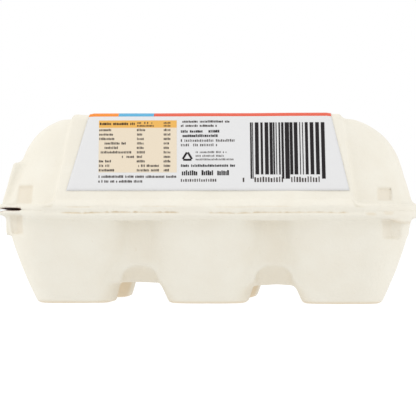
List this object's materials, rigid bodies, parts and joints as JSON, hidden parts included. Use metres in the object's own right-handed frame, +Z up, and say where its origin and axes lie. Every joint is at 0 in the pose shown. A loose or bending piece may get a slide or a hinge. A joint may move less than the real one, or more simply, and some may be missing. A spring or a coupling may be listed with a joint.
{
  "type": "shut moulded-pulp egg carton",
  "caption": "Shut moulded-pulp egg carton with domed lid, hinge along one long side, arched cup tray and a paper label folded over the lid.",
  "frame": {"origin": "on the surface that the carton stands on, under the centre of its box", "axes": "+X along the long side, -Y is the hinge side, +Z up"},
  "size_m": [0.15, 0.105, 0.0678],
  "materials": {
    "pulp": "matte moulded pulp, cream",
    "label_paper": "coated label paper with printed fields of colour"
  },
  "bodies": {
    "root": {"carton": "pulp", "label": "label_paper"}
  },
  "joints": []
}
